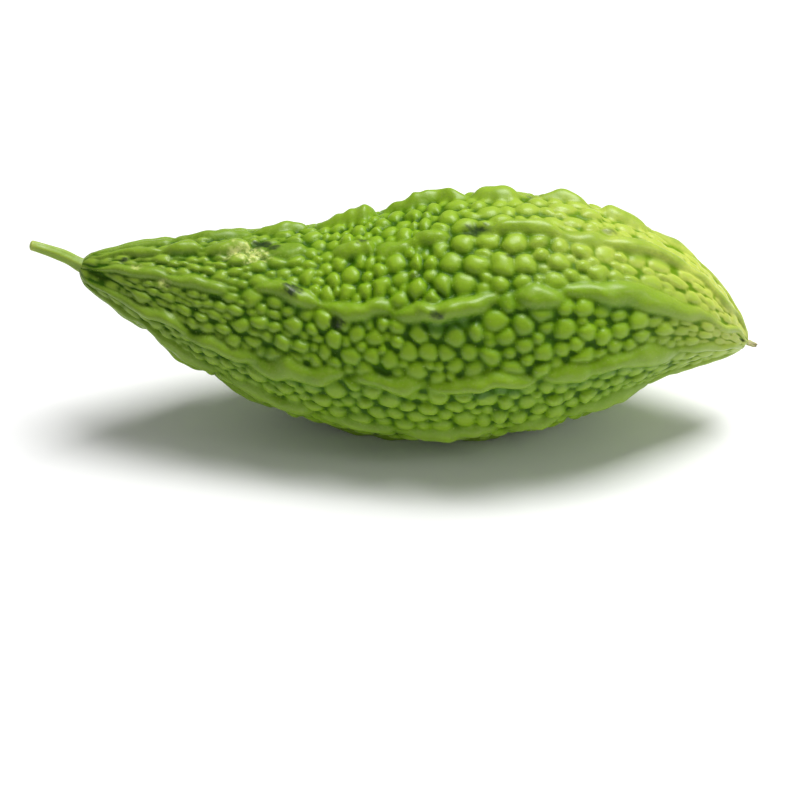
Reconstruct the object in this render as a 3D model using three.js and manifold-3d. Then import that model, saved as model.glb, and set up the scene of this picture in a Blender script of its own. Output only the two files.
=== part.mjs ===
// A whole bitter gourd, as picked and laid on its side: the warty fruit, its short stem and the dried scrap of
// blossom on its pointed end. Millimetres, +Z up, +X towards the blossom end. The origin is on the surface that
// the gourd rests on, under the middle of its bounding box.
//
// The fruit is a spindle of revolution on a gently bent spine. Ten ridges run from end to end, each a chain of
// long rounded lumps, and round warts of several sizes are packed into the furrows between them. A place on the
// skin is given by t, its share of the length from the stem end, and by an angle that is 0 on top and grows
// towards -Y.

import * as THREE from "three";
import { mergeVertices } from "three/addons/utils/BufferGeometryUtils.js";
import Module from "manifold-3d";

const wasm = await Module();
wasm.setup();

// ---- Driving dimensions ----
const BODY_LENGTH = 200; // between the two ends of the fruit
const BELLY_RADIUS = 34; // of the furrow floor, where the fruit is thickest
const RIDGE_COUNT = 10;
const RIDGE_HEIGHT = 4.9; // of the tallest lumps, above the furrow floor
const RIDGE_HALF_WIDTH = 4.3; // of the widest lumps
const WART_SIZES = [
  // packed largest first
  { radius: 3.4, tries: 700 },
  { radius: 3.0, tries: 1800 },
  { radius: 2.6, tries: 3500 },
];
const WART_HEIGHT = 2.9; // of the largest warts, above the furrow floor
const COLLAR_ROUNDING = 3.2; // the depth over which the blunt stem end rounds off
const TIP_ROUNDING = 1.4; // the same at the blossom end
const STEM_LENGTH = 15.5; // outside the fruit
const STEM_RADIUS = 2.1; // where it leaves the fruit
const STEM_CUT_RADIUS = 1.5; // at its cut end
const STEM_SEAT = 4; // how deep its root is set in the fruit
const STEM_RISE = 1.0; // of its root above the spine
const BLOSSOM_LENGTH = 3.4; // outside the fruit
const BLOSSOM_RADIUS = 0.8;
const BLOSSOM_SEAT = 1.6;
const SEAT_GAP = 0.3; // all round what is set in the fruit
const REST_DEPTH = 1; // how far the lowest lumps are pressed flat

// ---- Spindle ----
const THICKEST_AT = 0.59; // share of the length
const STEM_END_SHIFT = 0.03; // the profile starts part of the way up its curve, which leaves a blunt collar
const BLOSSOM_END_SHIFT = 0.006; // and stops short of the end of it, which leaves a blunt beak
const STEM_END_FULLNESS = 0.65; // less is fuller
const BLOSSOM_END_FULLNESS = 0.85;
const SPINE_HEIGHTS = [18.8, 11.6, 4.5, -0.8, -0.8, 2.4, 4, 1.8, -8]; // at even steps along the fruit

// ---- Mesh steps ----
const RINGS = 52; // between the rounded ends
const SEGMENTS = 84;
const END_RINGS = [0.05, 0.2, 0.5]; // shares of a rounding's depth
const SMALL_RINGS = 9; // of the stem and the blossom
const SMALL_SEGMENTS = 14;

const TURN = 2 * Math.PI;

// Numbers from 0 to 1, the same on every run.
function numberStream(seed) {
  const modulus = 2147483647;
  const multiplier = 16807;
  let state = seed;
  return () => {
    state = (state * multiplier) % modulus;
    return state / modulus;
  };
}

// The difference between two angles, at most half a turn either way.
const angleFrom = (a, b) => a - b - TURN * Math.round((a - b) / TURN);

// The radius of the furrow floor: a power of one arch of a sine, with its top at THICKEST_AT.
function floorRadius(t) {
  const scale = 1 - STEM_END_SHIFT - BLOSSOM_END_SHIFT;
  const place = STEM_END_SHIFT + scale * t;
  const top = STEM_END_SHIFT + scale * THICKEST_AT;
  const arch = Math.sin(Math.PI * place ** (Math.log(0.5) / Math.log(top)));
  return BELLY_RADIUS * arch ** (t < THICKEST_AT ? STEM_END_FULLNESS : BLOSSOM_END_FULLNESS);
}

// A quarter circle's rise from 0 at each end of the fruit to 1 past the end's rounding.
function endRounding(t) {
  const fromStem = 1 - Math.min((t * BODY_LENGTH) / COLLAR_ROUNDING, 1);
  const fromTip = 1 - Math.min(((1 - t) * BODY_LENGTH) / TIP_ROUNDING, 1);
  return Math.sqrt((1 - fromStem ** 2) * (1 - fromTip ** 2));
}

// How far ridges and warts stand up, as a share: all the way at the belly and less towards both ends.
const LEAST_RELIEF = { stemEnd: 0.6, blossomEnd: 0.3 };
const RELIEF_GAIN = 2.6; // over the length of the fruit
const RELIEF_LIMIT = 0.3; // share of the local radius that the ridges may reach
function reliefShare(t) {
  return Math.min(
    1,
    LEAST_RELIEF.stemEnd + RELIEF_GAIN * t,
    LEAST_RELIEF.blossomEnd + RELIEF_GAIN * (1 - t),
    (RELIEF_LIMIT * floorRadius(t)) / RIDGE_HEIGHT,
  );
}

// ---- Ridges ----
// A ridge is a chain of lumps. Each gives the shares of the length where it starts and stops, its height as a
// share of RIDGE_HEIGHT, and how many degrees its crest lies aside of the ridge's even place.
const FACING_LUMPS = [
  [
    [0, 0.12, 0.75, 4], [0.11, 0.23, 0.7, 0], [0.23, 0.31, 0.85, 0], [0.325, 0.44, 1.2, 0],
    [0.455, 0.595, 1.2, -4], [0.6, 0.665, 1.2, 2], [0.685, 0.75, 1, -3], [0.765, 0.82, 1.05, 0],
    [0.82, 0.89, 0.9, 3], [0.88, 1.02, 0.8, 0],
  ],
  [
    [0, 0.11, 0.9, -8], [0.1, 0.16, 0.95, -8], [0.16, 0.23, 0.9, -10], [0.25, 0.31, 0.6, -8],
    [0.35, 0.44, 0.9, -3], [0.44, 0.5, 0.6, 0], [0.49, 0.57, 0.85, -2], [0.61, 0.72, 1, -3],
    [0.71, 0.77, 0.6, 0], [0.75, 0.88, 1, -5], [0.86, 1.02, 0.9, 0],
  ],
  [
    [0, 0.12, 0.8, -8], [0.11, 0.21, 0.7, -5], [0.24, 0.34, 0.9, -10], [0.33, 0.47, 0.85, -4],
    [0.46, 0.62, 1, 0], [0.64, 0.71, 0.85, -3], [0.7, 0.9, 0.95, -3], [0.88, 1.02, 0.8, 0],
  ],
  [
    [0, 0.17, 0.9, 6], [0.15, 0.27, 0.85, 8], [0.25, 0.39, 0.9, 2], [0.4, 0.5, 0.8, -2],
    [0.51, 0.66, 1, 0], [0.67, 0.75, 0.8, 3], [0.73, 0.88, 0.9, 0], [0.87, 1.02, 0.8, 0],
  ],
  [
    [0, 0.1, 0.8, 0], [0.09, 0.22, 0.8, 4], [0.23, 0.36, 0.85, 0], [0.37, 0.46, 0.9, -3],
    [0.46, 0.6, 1, 0], [0.61, 0.7, 0.85, 3], [0.7, 0.85, 0.9, 0], [0.84, 1.02, 0.8, 0],
  ],
];
const FAR_LUMPS = { shortest: 0.07, longest: 0.18, leastHeight: 0.85, mostAside: 5, seed: 7919 };

// The lumps of a ridge on the far side or underneath, with lengths, heights and places drawn at random.
function farLumps(index) {
  const next = numberStream(FAR_LUMPS.seed * (index + 1));
  const lumps = [];
  for (let from = 0; from < 1; ) {
    const to = from + FAR_LUMPS.shortest + next() * (FAR_LUMPS.longest - FAR_LUMPS.shortest);
    const height = FAR_LUMPS.leastHeight + next() * (1 - FAR_LUMPS.leastHeight);
    lumps.push([from, to, height, FAR_LUMPS.mostAside * (2 * next() - 1)]);
    from = to;
  }
  return lumps;
}

// Two ridges straddle the top and two the bottom, where the gourd rests on both.
// A lump rises slowly from its stem side to its top and drops off steeply past it.
const LUMP_OVERRUN = 1.12; // a lump runs on a little past its ends, into its neighbours
const LUMP_TOP = 0.6; // where the top is, as a share of the lump from its stem side
const NARROWEST_LUMP = 0.7; // share of the half width
const MOST_SLANT = 0.12; // sideways over lengthways
const LUMP_SHAPE_SEED = 104729;
function ridge(_, index) {
  const even = (TURN * (index - 0.5)) / RIDGE_COUNT;
  const next = numberStream(LUMP_SHAPE_SEED + index);
  return (FACING_LUMPS[index] ?? farLumps(index)).map(([from, to, height, aside]) => {
    const length = LUMP_OVERRUN * (to - from);
    return {
      middle: (from + to) / 2,
      top: (from + to - length) / 2 + LUMP_TOP * length,
      before: LUMP_TOP * length,
      after: (1 - LUMP_TOP) * length,
      height,
      angle: even + THREE.MathUtils.degToRad(aside),
      width: NARROWEST_LUMP + (1 - NARROWEST_LUMP) * next(),
      slant: MOST_SLANT * (2 * next() - 1),
    };
  });
}
const RIDGES = Array.from({ length: RIDGE_COUNT }, ridge);

// The angle of a ridge's crest line, which eases from the middle of one lump to the middle of the next.
function crestAngle(lumps, t) {
  const after = lumps.findIndex((lump) => lump.middle > t);
  if (after === 0) return lumps[0].angle;
  if (after < 0) return lumps.at(-1).angle;
  const from = lumps[after - 1];
  const to = lumps[after];
  const ease = THREE.MathUtils.smoothstep(t, from.middle, to.middle);
  return from.angle + ease * (to.angle - from.angle);
}

// A ridge's height as a share of RIDGE_HEIGHT. Lumps are long domes on a low ridge that joins them.
const JOINING_RIDGE = { height: 0.19, width: 0.85 }; // shares of the height and of the half width
const RIDGE_ROOM = 0.29; // share of the even spacing that a half width may take
const LUMP_DOME = 0.62; // less gives a flatter top and steeper sides
function ridgeShare(lumps, t, angle) {
  const radius = floorRadius(t);
  const halfWidth = Math.min(RIDGE_HALF_WIDTH, (RIDGE_ROOM * TURN * radius) / RIDGE_COUNT);
  const across = (angleFrom(angle, crestAngle(lumps, t)) * radius) / halfWidth;
  const dome = (share) => Math.max(1 - share, 0) ** LUMP_DOME;
  const heights = lumps.map((lump) => {
    const past = t - lump.top;
    const along = past < 0 ? (past / lump.before) ** 2 : (past / lump.after) ** 3;
    const lean = (lump.slant * past * BODY_LENGTH) / RIDGE_HALF_WIDTH;
    return lump.height * dome(along + ((across - lean) / lump.width) ** 2);
  });
  return Math.max(JOINING_RIDGE.height * dome((across / JOINING_RIDGE.width) ** 2), ...heights);
}

// ---- Warts ----
// Each size of wart is tried at random places, and stays where it clears the ridges and the warts before it.
const WART_PACKING = 0.82; // share of the two radii that must lie between two centres
const WART_CLEARANCE = 0.2; // no wart starts where a ridge stands higher than this share
const END_WARTS = { size: 0.45, stretch: 0.8 }; // the smallest scale, and how much longer than wide
const WARTS = [];
const wartNumbers = numberStream(20347);
for (const { radius, tries } of WART_SIZES)
  for (let i = 0; i < tries; i++) tryWart(radius, wartNumbers(), wartNumbers(), wartNumbers());

function tryWart(size, t, turnShare, chance) {
  const slimness = floorRadius(t) / BELLY_RADIUS;
  const wart = {
    t,
    angle: TURN * turnShare,
    radius: size * Math.max(slimness, END_WARTS.size),
    stretch: 1 + END_WARTS.stretch * (1 - slimness),
  };
  if (chance > slimness) return; // so that a thin end gets no more tries for its area than the belly
  if (RIDGES.some((lumps) => ridgeShare(lumps, t, wart.angle) > WART_CLEARANCE)) return;
  const tooClose = (other) =>
    wartDistance(other, t, wart.angle) * other.radius < WART_PACKING * (wart.radius + other.radius);
  if (!WARTS.some(tooClose)) WARTS.push(wart);
}

// How far a place is from a wart's centre, in the wart's own radii.
function wartDistance(wart, t, angle) {
  const along = ((t - wart.t) * BODY_LENGTH) / (wart.radius * wart.stretch);
  const around = (angleFrom(angle, wart.angle) * floorRadius(wart.t)) / wart.radius;
  return Math.sqrt(along ** 2 + around ** 2);
}

// A place belongs to the wart that is nearest in wart radii. The wart falls away from its centre to the crease
// where the second nearest is as near. The height is a share of WART_HEIGHT.
const WART_DOME = 0.7; // less gives a flatter top and a narrower crease
function wartShare(t, angle) {
  let nearest = Infinity;
  let second = Infinity;
  let radius = 0;
  for (const wart of WARTS) {
    const distance = wartDistance(wart, t, angle);
    if (distance < nearest) {
      second = nearest;
      nearest = distance;
      radius = wart.radius;
    } else if (distance < second) second = distance;
  }
  const inward = (second - nearest) / (second + nearest);
  return ((1 - (1 - inward) ** 2) ** WART_DOME * radius) / WART_SIZES[0].radius;
}

// The height of the skin above the furrow floor.
function relief(t, angle) {
  const ridges = RIDGES.map((lumps) => ridgeShare(lumps, t, angle));
  return reliefShare(t) * Math.max(WART_HEIGHT * wartShare(t, angle), RIDGE_HEIGHT * Math.max(...ridges));
}

// ---- Solids ----
// A lathe turned on a bent axis. radiusAt gives the radius at a share of the axis and an angle.
function bentLathe(axis, shares, segments, radiusAt) {
  const profile = shares.map((t) => new THREE.Vector2(radiusAt(t, 0), t));
  const geometry = new THREE.LatheGeometry(profile, segments);
  const position = geometry.getAttribute("position");
  for (let i = 0; i < position.count; i++) {
    const t = shares[i % shares.length];
    const angle = (TURN * (Math.floor(i / shares.length) % segments)) / segments;
    const radius = radiusAt(t, angle);
    const point = axis.getPoint(t);
    const tangent = axis.getTangent(t);
    const up = new THREE.Vector3(-tangent.z, 0, tangent.x).normalize();
    point.addScaledVector(up, radius * Math.cos(angle));
    point.y -= radius * Math.sin(angle);
    position.setXYZ(i, point.x, point.y, point.z);
  }
  return geometry;
}

function solidOf(geometry) {
  geometry.deleteAttribute("normal");
  geometry.deleteAttribute("uv");
  const merged = mergeVertices(geometry, 1e-3);
  const mesh = new wasm.Mesh({
    numProp: 3,
    vertProperties: new Float32Array(merged.getAttribute("position").array),
    triVerts: new Uint32Array(merged.index.array),
  });
  return new wasm.Manifold(mesh);
}

function meshOf(solid, name, material) {
  const { vertProperties, triVerts } = solid.getMesh();
  const geometry = new THREE.BufferGeometry();
  geometry.setAttribute("position", new THREE.BufferAttribute(vertProperties, 3));
  geometry.setIndex(new THREE.BufferAttribute(triVerts, 1));
  geometry.computeVertexNormals();
  const mesh = new THREE.Mesh(geometry, material);
  mesh.name = name;
  return mesh;
}

// Evenly spaced points and an even curve, so that share t of the curve is share t of the length.
const spine = new THREE.CatmullRomCurve3(
  SPINE_HEIGHTS.map((z, i) => new THREE.Vector3((BODY_LENGTH * i) / (SPINE_HEIGHTS.length - 1), 0, z)),
  false,
  "catmullrom",
  0.5,
);

function fruitSolid() {
  const collarSteps = END_RINGS.map((share) => (share * COLLAR_ROUNDING) / BODY_LENGTH);
  const tipSteps = END_RINGS.map((share) => 1 - (share * TIP_ROUNDING) / BODY_LENGTH);
  const first = COLLAR_ROUNDING / BODY_LENGTH;
  const last = 1 - TIP_ROUNDING / BODY_LENGTH;
  const between = Array.from({ length: RINGS }, (_, i) => first + ((last - first) * i) / (RINGS - 1));
  const shares = [0, ...collarSteps, ...between, ...tipSteps.reverse(), 1];
  const radiusAt = (t, angle) => endRounding(t) * (floorRadius(t) + relief(t, angle));
  return solidOf(bentLathe(spine, shares, SEGMENTS, radiusAt));
}

// A rod of changing radius on a curve, closed by flat ends that are a little narrower.
const ROD_END = { depth: 0.03, narrowing: 0.75 };
function rodSolid(axis, radiusAt) {
  const between = Array.from({ length: SMALL_RINGS }, (_, i) => {
    return ROD_END.depth + ((1 - 2 * ROD_END.depth) * i) / (SMALL_RINGS - 1);
  });
  const edge = ROD_END.depth / 10;
  const shares = [0, edge, ...between, 1 - edge, 1];
  const rounded = (t) => {
    if (t === 0 || t === 1) return 0;
    return radiusAt(t) * (t < ROD_END.depth || t > 1 - ROD_END.depth ? ROD_END.narrowing : 1);
  };
  return solidOf(bentLathe(axis, shares, SMALL_SEGMENTS, rounded));
}

// The stem leaves the collar above the spine, climbs, and levels out towards its cut end. A margin above 0
// gives the room that it needs in the fruit.
const STEM_CLIMB = THREE.MathUtils.degToRad(36); // at its root
const STEM_LEVELS_TO = THREE.MathUtils.degToRad(12); // at its cut end
function stemSolid(margin) {
  const outwards = (climb) => new THREE.Vector3(-Math.cos(climb), 0, Math.sin(climb));
  const root = spine.getPoint(0).add(new THREE.Vector3(0, 0, STEM_RISE));
  const inner = root.clone().addScaledVector(outwards(STEM_CLIMB), -STEM_SEAT - margin);
  const elbow = root.clone().addScaledVector(outwards(STEM_CLIMB), STEM_LENGTH / 2);
  const outer = elbow.clone().addScaledVector(outwards(STEM_LEVELS_TO), STEM_LENGTH / 2);
  const axis = new THREE.QuadraticBezierCurve3(outer, elbow, inner);
  return rodSolid(axis, (t) => margin + THREE.MathUtils.lerp(STEM_CUT_RADIUS, STEM_RADIUS, t ** 1.5));
}

// The dried blossom hangs on from the beak, a little downwards.
const BLOSSOM_DROOP = THREE.MathUtils.degToRad(25);
function blossomSolid(margin) {
  const root = spine.getPoint(1);
  const inner = root.clone().addScaledVector(spine.getTangent(1), -BLOSSOM_SEAT - margin);
  const outwards = new THREE.Vector3(Math.cos(BLOSSOM_DROOP), 0, -Math.sin(BLOSSOM_DROOP));
  const outer = root.clone().addScaledVector(outwards, BLOSSOM_LENGTH);
  const axis = new THREE.QuadraticBezierCurve3(inner, root, outer);
  return rodSolid(axis, (t) => margin + BLOSSOM_RADIUS * (0.85 + 0.35 * Math.sin(Math.PI * t)));
}

// Everything below the resting surface, which is REST_DEPTH above the lowest lump.
function belowRest(solid) {
  const lowest = new THREE.Box3().setFromArray(solid.getMesh().vertProperties).min.z;
  const depth = 2 * BELLY_RADIUS;
  const block = new THREE.BoxGeometry(2 * BODY_LENGTH, 4 * BELLY_RADIUS, depth);
  block.translate(BODY_LENGTH / 2, 0, lowest + REST_DEPTH - depth / 2);
  return solidOf(block);
}

// ---- The gourd ----
const skin = new THREE.MeshStandardMaterial({ color: "#6a9a32", roughness: 0.45, metalness: 0 });
const stalk = new THREE.MeshStandardMaterial({ color: "#96b23c", roughness: 0.5, metalness: 0 });
const dried = new THREE.MeshStandardMaterial({ color: "#9aa56a", roughness: 0.8, metalness: 0 });

const whole = fruitSolid();
const fruit = whole.subtract(stemSolid(SEAT_GAP)).subtract(blossomSolid(SEAT_GAP)).subtract(belowRest(whole));

const gourd = new THREE.Group();
gourd.add(
  meshOf(fruit, "fruit", skin),
  meshOf(stemSolid(0), "stem", stalk),
  meshOf(blossomSolid(0), "blossom_remnant", dried),
);
const bounds = new THREE.Box3().setFromObject(gourd);
const middle = bounds.getCenter(new THREE.Vector3());
gourd.position.set(-middle.x, -middle.y, -bounds.min.z);

export default new THREE.Group().add(gourd);
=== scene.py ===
"""A whole bitter gourd, as picked, lying on a pale studio floor.

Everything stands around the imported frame, in metres, with +X towards the blossom end and +Z up. The shapes
are designed in millimetres and turned into metres as their meshes are made.

A place on the fruit's skin has two parameters: t, its share of the length from the stem end, and an angle
that is 0 on top and grows towards -Y. The skin's height above the furrow floor is worked out over a whole
grid of the two at once, and so are the values that its finish reads.
"""

import logging
import math
from abc import ABC, abstractmethod
from dataclasses import dataclass, field
from enum import Enum
from typing import ClassVar

import bpy
import numpy as np
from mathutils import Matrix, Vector


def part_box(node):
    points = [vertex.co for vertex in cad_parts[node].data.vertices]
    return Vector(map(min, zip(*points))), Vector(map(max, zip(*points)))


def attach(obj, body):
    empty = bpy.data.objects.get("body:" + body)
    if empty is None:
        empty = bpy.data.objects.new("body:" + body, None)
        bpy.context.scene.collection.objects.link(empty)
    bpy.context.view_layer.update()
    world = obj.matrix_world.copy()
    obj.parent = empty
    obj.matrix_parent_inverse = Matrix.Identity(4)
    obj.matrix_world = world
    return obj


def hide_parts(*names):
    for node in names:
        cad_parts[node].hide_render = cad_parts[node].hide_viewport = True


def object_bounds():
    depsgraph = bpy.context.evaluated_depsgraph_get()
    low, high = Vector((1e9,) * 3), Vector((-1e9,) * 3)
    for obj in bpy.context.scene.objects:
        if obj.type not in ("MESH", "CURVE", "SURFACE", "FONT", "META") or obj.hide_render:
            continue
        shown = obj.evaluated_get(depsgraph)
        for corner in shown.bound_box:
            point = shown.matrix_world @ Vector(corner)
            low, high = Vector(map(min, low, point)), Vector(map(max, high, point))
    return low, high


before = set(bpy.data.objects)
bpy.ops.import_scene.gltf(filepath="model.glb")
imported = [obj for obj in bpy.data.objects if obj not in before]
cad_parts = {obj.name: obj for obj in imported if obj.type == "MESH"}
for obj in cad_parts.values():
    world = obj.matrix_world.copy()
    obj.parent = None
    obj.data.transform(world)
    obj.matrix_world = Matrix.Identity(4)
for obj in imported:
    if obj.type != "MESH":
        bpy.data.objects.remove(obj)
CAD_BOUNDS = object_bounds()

LOG = logging.getLogger("bitter_gourd")
MM = 0.001
TURN = 2 * math.pi
BODY = "root"

Array = np.ndarray
Colour = tuple[float, float, float]


# ---------------------------------------------------------------- numbers and small shape functions


@dataclass
class NumberStream:
    """Numbers from 0 to 1 by the minimal standard generator, the same on every run."""

    state: int
    MULTIPLIER: ClassVar[int] = 16807
    MODULUS: ClassVar[int] = 2147483647

    def draw(self, count: int) -> Array:
        """Draws the next numbers.

        Args:
            count: How many to draw.

        Returns:
            An array of that many numbers.
        """
        numbers = np.empty(count)
        for i in range(count):
            self.state = (self.state * self.MULTIPLIER) % self.MODULUS
            numbers[i] = self.state / self.MODULUS
        return numbers


def smoothstep(values: Array, low: float | Array, high: float | Array) -> Array:
    """Eases from 0 at low to 1 at high, by 3 s squared less 2 s cubed. Low may be the larger of the two.

    Args:
        values: The values to ease.
        low: Where the result is 0.
        high: Where the result is 1.

    Returns:
        An array of shares from 0 to 1.
    """
    share = np.clip((values - low) / (high - low), 0, 1)
    return share * share * (3 - 2 * share)


def wrapped(angles: Array) -> Array:
    """Brings angles within half a turn of 0."""
    return angles - TURN * np.round(angles / TURN)


@dataclass(frozen=True)
class Ripple:
    """A smooth, patternless field: sine waves that run in random directions, added up and shared among them
    by the root of how many they are. The wavelength is their mean length, in the unit of the places."""

    wavelength: float
    seed: int
    waves: int = 7
    spread: tuple[float, float] = (0.7, 1.4)

    def at(self, points: Array) -> Array:
        """The field's value at each place.

        Args:
            points: Places, in an array whose last axis is x, y, z.

        Returns:
            Values that are mostly within -1 to 1.
        """
        random = np.random.default_rng(self.seed)
        directions = random.normal(size=(self.waves, 3))
        directions /= np.linalg.norm(directions, axis=1, keepdims=True)
        numbers = TURN / (self.wavelength * random.uniform(*self.spread, self.waves))
        phases = random.uniform(0, TURN, self.waves)
        return np.sin(points @ (directions.T * numbers) + phases).sum(axis=-1) / math.sqrt(self.waves)


def softened(grid: Array, passes: int) -> Array:
    """Blurs a grid whose columns close round on themselves, by repeated 1-2-1 means both ways.

    Args:
        grid: Values by row and column.
        passes: How many times the mean is taken.

    Returns:
        The blurred grid.
    """
    for _ in range(passes):
        grid = (np.roll(grid, 1, axis=1) + 2 * grid + np.roll(grid, -1, axis=1)) / 4
        padded = np.pad(grid, ((1, 1), (0, 0)), mode="edge")
        grid = (padded[:-2] + 2 * padded[1:-1] + padded[2:]) / 4
    return grid


def quarter_sines(count: int) -> Array:
    """The sines of even steps inside a quarter turn, where the rings on a rounded edge go."""
    return np.sin(np.linspace(0, np.pi / 2, count + 2)[1:-1])


def ring_angles(count: int) -> Array:
    """Even angles round a ring."""
    return TURN * np.arange(count) / count


def waves(angle: Array, terms: tuple[tuple[float, float, float], ...]) -> Array:
    """Adds up sine waves round a ring, each given as its size, how many times it repeats, and its phase."""
    return sum(size * np.sin(times * angle + phase) for size, times, phase in terms)


def bezier(share: Array, first: Array, middle: Array, last: Array) -> Array:
    """A quadratic Bezier curve: (1 - s) squared of first, 2 s (1 - s) of middle, and s squared of last.

    Args:
        share: Shares of the curve, s.
        first: Where it starts.
        middle: The point that bends it.
        last: Where it ends.

    Returns:
        One point for each share.
    """
    s = share[:, None]
    return (1 - s) ** 2 * first + 2 * s * (1 - s) * middle + s**2 * last


def tangents(path: Array) -> Array:
    """The direction of a path at each of its points, one unit long."""
    tangent = np.gradient(path, axis=0)
    return tangent / np.linalg.norm(tangent, axis=1, keepdims=True)


# ---------------------------------------------------------------- the fruit's shape


@dataclass(frozen=True)
class Spindle:
    """The fruit without its ridges and warts, in millimetres."""

    length: float = 200.0
    belly_radius: float = 34.0
    thickest_at: float = 0.59
    stem_end_shift: float = 0.03
    blossom_end_shift: float = 0.006
    stem_end_fullness: float = 0.65
    blossom_end_fullness: float = 0.85
    collar_rounding: float = 3.2
    tip_rounding: float = 1.4
    spine_heights: tuple[float, ...] = (18.8, 11.6, 4.5, -0.8, -0.8, 2.4, 4, 1.8, -8)

    def floor_radius(self, t: Array) -> Array:
        """The furrow floor's radius: a power of one arch of a sine, whose top is drawn to thickest_at.

        Args:
            t: Shares of the length.

        Returns:
            Radii in millimetres.
        """
        scale = 1 - self.stem_end_shift - self.blossom_end_shift
        place = self.stem_end_shift + scale * t
        top = self.stem_end_shift + scale * self.thickest_at
        arch = np.sin(np.pi * place ** (math.log(0.5) / math.log(top)))
        fullness = np.where(t < self.thickest_at, self.stem_end_fullness, self.blossom_end_fullness)
        return self.belly_radius * arch**fullness

    def end_rounding(self, t: Array) -> Array:
        """A quarter circle's rise from 0 at each end to 1 past the end's rounding.

        Args:
            t: Shares of the length.

        Returns:
            Shares of the full radius.
        """
        from_stem = 1 - np.minimum(t * self.length / self.collar_rounding, 1)
        from_tip = 1 - np.minimum((1 - t) * self.length / self.tip_rounding, 1)
        return np.sqrt((1 - from_stem**2) * (1 - from_tip**2))

    def spine(self, t: Array) -> tuple[Array, Array]:
        """The bent axis: an even Catmull-Rom curve through heights at even steps.

        Args:
            t: Shares of the length.

        Returns:
            The points of the axis, and its slopes dz/dx.
        """
        heights = np.array(self.spine_heights, float)
        spans = len(heights) - 1
        ends = np.concatenate(
            ([2 * heights[0] - heights[1]], heights, [2 * heights[-1] - heights[-2]])
        )
        slopes = (ends[2:] - ends[:-2]) / 2
        k = np.clip(np.floor(t * spans).astype(int), 0, spans - 1)
        u = t * spans - k
        low, high, out, into = heights[k], heights[k + 1], slopes[k], slopes[k + 1]
        square = 3 * (high - low) - 2 * out - into
        cube = 2 * (low - high) + out + into
        z = low + u * (out + u * (square + u * cube))
        slope = (out + u * (2 * square + 3 * u * cube)) * spans / self.length
        return np.stack([t * self.length, np.zeros_like(t), z], axis=-1), slope

    def place(self, t: Array, angle: Array, radius: Array) -> Array:
        """Puts skin points round the spine: the axis point, plus the radius times the direction at the angle.

        Args:
            t: Shares of the length, by row and column.
            angle: Angles, by row and column.
            radius: Distances from the spine, by row and column.

        Returns:
            Points with x, y, z on the last axis.
        """
        points, slope = self.spine(t)
        lean = np.sqrt(1 + slope**2)
        points[..., 0] -= radius * np.cos(angle) * slope / lean
        points[..., 1] -= radius * np.sin(angle)
        points[..., 2] += radius * np.cos(angle) / lean
        return points


@dataclass
class SkinGrid:
    """Places all over the skin, with a share of the length for each row and an angle for each column, and the
    furrow floor's radius and points there, laid out along a straight spine in millimetres."""

    spindle: Spindle
    t: Array
    angle: Array
    along: Array = field(init=False)
    floor: Array = field(init=False)
    points: Array = field(init=False)

    def __post_init__(self) -> None:
        """Lays out the furrow floor."""
        self.along = self.t[:, None]
        self.floor = self.spindle.floor_radius(self.t)[:, None]
        sides = self.floor * np.cos(self.angle), self.floor * np.sin(self.angle)
        places = np.broadcast_arrays(self.along * self.spindle.length, *sides)
        self.points = np.stack(places, axis=-1)

    def moved(self, size: float, ripples: tuple[Ripple, Ripple]) -> tuple[Array, Array]:
        """Moves the places along and round by two ripples of a size in millimetres."""
        along, around = (size * ripple.at(self.points) for ripple in ripples)
        return self.along + along / self.spindle.length, self.angle + around / self.floor

    def ways(self, t: float, degrees: float) -> tuple[Array, Array]:
        """How far each place is from one place on the skin, along and round, in millimetres."""
        along = (self.along - t) * self.spindle.length
        return along, wrapped(self.angle - math.radians(degrees)) * self.floor


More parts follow.
